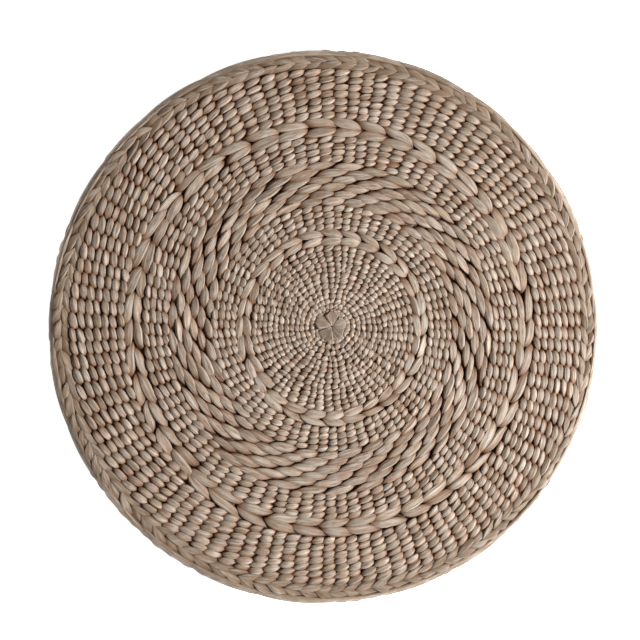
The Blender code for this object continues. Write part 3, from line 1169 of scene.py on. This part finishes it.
@dataclass
class Stalks:
    """The flat radial stalks that the rows are twined round, laid as two stars."""

    outline: Outline
    leaf: bpy.types.Material
    count: int = 27  # stalks that start at the middle; as many are added further out, and then twice as many
    top_starts: tuple[float, float, float] = (3 * MM, 34 * MM, 88 * MM)
    under_starts: tuple[float, float, float] = (5 * MM, 40 * MM, 92 * MM)
    top_foot: float = 9 * MM  # height on the wall where the top's stalks end
    under_rise: float = 8 * MM  # height on the wall that the underside's stalks turn up to
    below_skin: float = 4.4 * MM
    layer: float = 0.25 * MM  # how much deeper each group lies than the one before
    half_width: float = 5.0 * MM
    least_half_width: float = 0.5 * MM
    half_thickness: float = 0.8 * MM
    places: int = 46

    def build(self) -> None:
        """Build the star of the top and side wall, and the star of the underside."""
        out = self.outline
        foot, rise = out.on_wall(self.top_foot), out.on_wall(self.under_rise)
        self._star("top_spokes", [(out.on_top(r), foot) for r in self.top_starts], 61)
        self._star("under_spokes", [(rise, out.under(r)) for r in self.under_starts], 62)

    def _star(self, node: str, spans: list[tuple[float, float]], seed: int) -> None:
        """Lay one star of three groups of stalks.

        Args:
            node: the CAD node that it stands for.
            spans: the run lengths where each group starts and ends.
            seed: picks how the stalks differ.
        """
        chance = np.random.default_rng(seed)
        parts = [self._group(index, *span, chance) for index, span in enumerate(spans)]
        stalks = Strands(*[np.concatenate(arrays) for arrays in zip(*parts)], arc=6, under=2, crease=0.05)
        add_piece("radial_" + node, stalks.mesh(node + "_stalks"), node, self.leaf)

    def _group(self, index: int, start: float, end: float,
               chance: np.random.Generator) -> tuple[np.ndarray, ...]:
        """Lay one group of stalks.

        Args:
            index: which group of the star it is, from 0.
            start: the run length where its stalks start.
            end: the run length where they end.
            chance: the source of their differences.

        Returns:
            The arrays of the stalks, in the order of the fields of Strands.
        """
        count = self.count * (1, 1, 2)[index]
        first = (0.0, 0.5, 0.5)[index]  # each later group lies in the gaps of those before
        share = ends_close(self.places)
        run = np.broadcast_to(start + share * (end - start), (count, self.places))
        step = 2 * math.pi / count
        angle = (np.arange(count) + first) * step
        angle = angle[:, None] + chance.normal(0, 0.003, (count, 1)) + np.zeros((1, self.places))
        depth = np.full((count, self.places), self.below_skin) + index * self.layer
        r, z, nr, nz = self.outline.at(run)
        r, z = r - depth * nr, z - depth * nz
        centre = np.stack([r * np.cos(angle), r * np.sin(angle), z], -1)
        up = np.stack([nr * np.cos(angle), nr * np.sin(angle), nz], -1)
        taper = np.clip(np.sin(np.pi * share), 0, 1) ** 0.12
        taper[0] = taper[-1] = 0.0
        half_width = np.clip(r * 0.12, self.least_half_width, self.half_width) * taper
        thickness = np.full((count, self.places), self.half_thickness) * taper
        return centre, up, half_width, thickness, depth, chance.uniform(0, 1, (count, 2)), np.zeros(count)


@dataclass
class StrawFilling:
    """The cake of dry straw inside the pad: a lumpy core with loose straws crossing over it."""

    straw: bpy.types.Material
    straws: int = 420
    straw_half_width: float = 1.0 * MM
    half_length: tuple[float, float] = (20 * MM, 45 * MM)
    bend: float = 4 * MM
    side_margin: float = 1.5 * MM  # the core stays this far inside the CAD cake's side
    face_margin: float = 1.2 * MM
    straw_margin: float = 52 * MM  # from the cake's side to the middle of the outermost straw
    straws_below_top: float = 2.6 * MM
    straws_above_foot: float = 2.0 * MM

    def build(self) -> None:
        chance = np.random.default_rng(71)
        core = self._core(chance)
        mesh = self._straws(chance).mesh("filling_straws")
        piece = add_piece("straw_filling", mesh, "filling", self.straw)
        join_mesh(piece, core.mesh("filling_core"))

    def _core(self, chance: np.random.Generator) -> Strands:
        """Shape the lumpy core as one very wide strand, whose sections are upright slices of the cake.

        Args:
            chance: the source of its lumps.

        Returns:
            The core, as a single strand.
        """
        low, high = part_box("filling")
        radius, places = high.x - self.side_margin, 64
        x = ends_close(places)
        y = (2 * x - 1) * radius
        lumps = 1 + 0.012 * np.sin(9 * x * math.pi + 1.0) + 0.008 * chance.normal(0, 1, places)
        half_width = np.sqrt(np.clip(radius ** 2 - y ** 2, 0, None)) * lumps
        thick = (high.z - low.z) / 2 - self.face_margin
        half_thickness = thick * np.clip(half_width / (0.25 * radius), 0, 1) ** 0.5
        half_width[0] = half_width[-1] = half_thickness[0] = half_thickness[-1] = 0.0
        centre = np.stack([np.zeros(places), y, np.full(places, (low.z + high.z) / 2)], -1)[None]
        up = np.broadcast_to(np.array([0.0, 0.0, 1.0]), centre.shape)
        # painted shade only: the core counts as fully deep, so it is painted in its shaded brown
        depth = np.full((1, places), DEEPEST)
        return Strands(centre, up, half_width[None], half_thickness[None], depth, np.full((1, 2), 0.5),
                       np.zeros(1), arc=64, under=40, crease=0.006, folds=23, square=2.0)

    def _straws(self, chance: np.random.Generator) -> Strands:
        """Strew loose straws flat in every direction over both faces of the core.

        Args:
            chance: the source of their places.

        Returns:
            The straws.
        """
        low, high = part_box("filling")
        count, places = self.straws, 9
        heading = chance.uniform(0, 2 * math.pi, count)
        reach = chance.uniform(*self.half_length, count)
        spot = np.sqrt(chance.uniform(0, 1, count)) * (high.x - self.straw_margin)
        where = chance.uniform(0, 2 * math.pi, count)
        t = np.linspace(-1, 1, places)
        bow = chance.normal(0, self.bend, count)[:, None] * (t ** 2)[None, :]
        cos, sin = np.cos(heading), np.sin(heading)
        x = (spot * np.cos(where))[:, None] + t * (reach * cos)[:, None] - bow * sin[:, None]
        y = (spot * np.sin(where))[:, None] + t * (reach * sin)[:, None] + bow * cos[:, None]
        face = np.where(np.arange(count) % 2 == 0, 1.0, -1.0)
        level = np.where(face > 0, high.z - self.straws_below_top, low.z + self.straws_above_foot)
        level = level + chance.uniform(-0.8 * MM, 0.4 * MM, count)
        centre = np.stack([x, y, np.broadcast_to(level[:, None], x.shape)], -1)
        up = np.zeros_like(centre)
        up[..., 2] = face[:, None]
        body = np.full((count, places), self.straw_half_width) * chance.uniform(0.7, 1.3, count)[:, None]
        body[:, [0, -1]] = 0.0
        # painted shade only: the straws count as deep, so they are painted browner and darker
        depth = np.full((count, places), 0.75 * DEEPEST)
        tone = chance.uniform(0, 1, (count, 2))
        return Strands(centre, up, body, body * 0.8, depth, tone, np.zeros(count), arc=5, under=1,
                       crease=0.0, square=2.0)


# ---------------------------------------------------------------- studio


@dataclass
class Studio:
    """A pale floor, a soft key light low on the right, a pale room and a camera almost straight above."""

    floor_size: float = 8.0
    cove_height: float = 0.6  # the floor turns up at its edges, so a low view shows no gap behind it
    key_power: float = 80.0
    key_colour: tuple[float, float, float] = (1.0, 0.990, 0.980)
    key_size: float = 0.36
    key_distance: float = 2.2
    key_azimuth: float = math.radians(-13.0)
    key_elevation: float = math.radians(34.0)
    surround: float = 0.10
    surround_colour: tuple[float, float, float, float] = (1.0, 0.93, 0.84, 1.0)
    camera_tilt: float = math.radians(6.8)
    camera_distance: float = 0.85
    lens: float = 67.5  # millimetres, on a sensor 36 wide
    aim: tuple[float, float] = (-8.6 * MM, 4.6 * MM)

    def build(self) -> None:
        """Build the floor, the lights and the camera."""
        bpy.context.scene.view_settings.view_transform = "Standard"
        self._floor()
        self._key()
        self._surroundings()
        self._camera()

    def _floor(self) -> None:
        """Lay the floor under the pad, with a low wall round it."""
        half = self.floor_size / 2
        outline = [(-half, -half), (half, -half), (half, half), (-half, half)]
        corners = [(x, y, z) for z in (0.0, self.cove_height) for x, y in outline]
        walls = [(i, i + 4, (i + 1) % 4 + 4, (i + 1) % 4) for i in range(4)]
        mesh = bpy.data.meshes.new("floor")
        mesh.from_pydata(corners, [], [(0, 1, 2, 3)] + walls)
        mesh.materials.append(MattPaint().build())
        floor = bpy.data.objects.new("floor", mesh)
        bpy.context.scene.collection.objects.link(floor)

    def _key(self) -> None:
        """Hang the key light and turn it to the pad."""
        light = bpy.data.lights.new("key", "AREA")
        light.shape = "DISK"
        light.size = self.key_size
        light.energy = self.key_power
        light.color = self.key_colour
        key = bpy.data.objects.new("key", light)
        level = math.cos(self.key_elevation)
        away = Vector((math.cos(self.key_azimuth) * level, math.sin(self.key_azimuth) * level,
                       math.sin(self.key_elevation)))
        key.location = away * self.key_distance
        key.rotation_euler = (-away).to_track_quat("-Z", "Y").to_euler()
        bpy.context.scene.collection.objects.link(key)

    def _surroundings(self) -> None:
        """Make the even light of a pale room."""
        world = bpy.data.worlds.new("pale_room")
        bpy.context.scene.world = world
        world.use_nodes = True
        back = world.node_tree.nodes["Background"]
        back.inputs["Color"].default_value = self.surround_colour
        back.inputs["Strength"].default_value = self.surround

    def _camera(self) -> None:
        """Stand the camera over the pad, a little towards its -X side, looking down at it."""
        lens = bpy.data.cameras.new("camera")
        lens.lens = self.lens
        lens.sensor_width = 36.0
        camera = bpy.data.objects.new("camera", lens)
        target = Vector((self.aim[0], self.aim[1], CAD_BOX[1].z))
        back = Vector((-math.sin(self.camera_tilt), 0.0, math.cos(self.camera_tilt)))
        place = target + back * self.camera_distance
        right = Vector((math.cos(self.camera_tilt), 0.0, math.sin(self.camera_tilt)))
        up = back.cross(right)
        camera.matrix_world = Matrix((
            (right.x, up.x, back.x, place.x),
            (right.y, up.y, back.y, place.y),
            (right.z, up.z, back.z, place.z),
            (0.0, 0.0, 0.0, 1.0)))
        bpy.context.scene.collection.objects.link(camera)
        bpy.context.scene.camera = camera


def main() -> None:
    """Build the pad and the studio round it."""
    logging.basicConfig(level=logging.INFO, format="%(message)s")
    Studio().build()
    rim_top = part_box("top_rim_outer")[1]
    wall_room = 0.8 * MM  # keeps the side rows' round backs from showing past the rim from above
    outline = Outline(
        crown=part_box("top_centre_field")[1].z,
        shoulder=rim_top.z,
        edge_radius=rim_top.x,
        wall_radius=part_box("side_row_2")[1].x - wall_room,
    )
    # each leaf's brown_shade and shaded colours are its painted shade; the broad leaf's lighter brown_shade
    # is lighter painted shade
    leaf = DriedRush("dried_rush_leaf").build()
    broad_leaf = DriedRush("broad_rush_leaf", brown_shade="#946c4b",
                           tones=("#b09d8b", "#bdab98", "#c5b4a2", "#b6a391", "#c9baa9")).build()
    rim_leaf = DriedRush("plaited_rush_leaf", brown_shade="#8a6d52",
                         tones=("#87725f", "#a28e7a", "#b39e8a", "#95806b", "#bca995")).build()
    knot_leaf = DriedRush("folded_rush_leaf", brown_shade="#836850",
                          tones=("#887361", "#98846f", "#a6937f")).build()
    # the stalks and the straw lie deep, so they show mostly in their shaded colour, which is painted shade
    stalk = DriedRush("rush_stalk", tones=("#8c6f50", "#9a7d5c"), shaded="#4a311f").build()
    straw = DriedRush("dry_straw", tones=("#b8994f", "#cdb26c", "#d8c48a"), shaded="#8a6a38").build()
    TopWeave(outline, leaf, broad_leaf, rim_leaf).build()
    EdgeWeave(outline, leaf, rim_leaf).build()
    UnderWeave(outline, leaf, rim_leaf).build()
    Knots(knot_leaf).build()
    Stalks(outline, stalk).build()
    StrawFilling(straw).build()


if __name__ == "__main__":
    main()
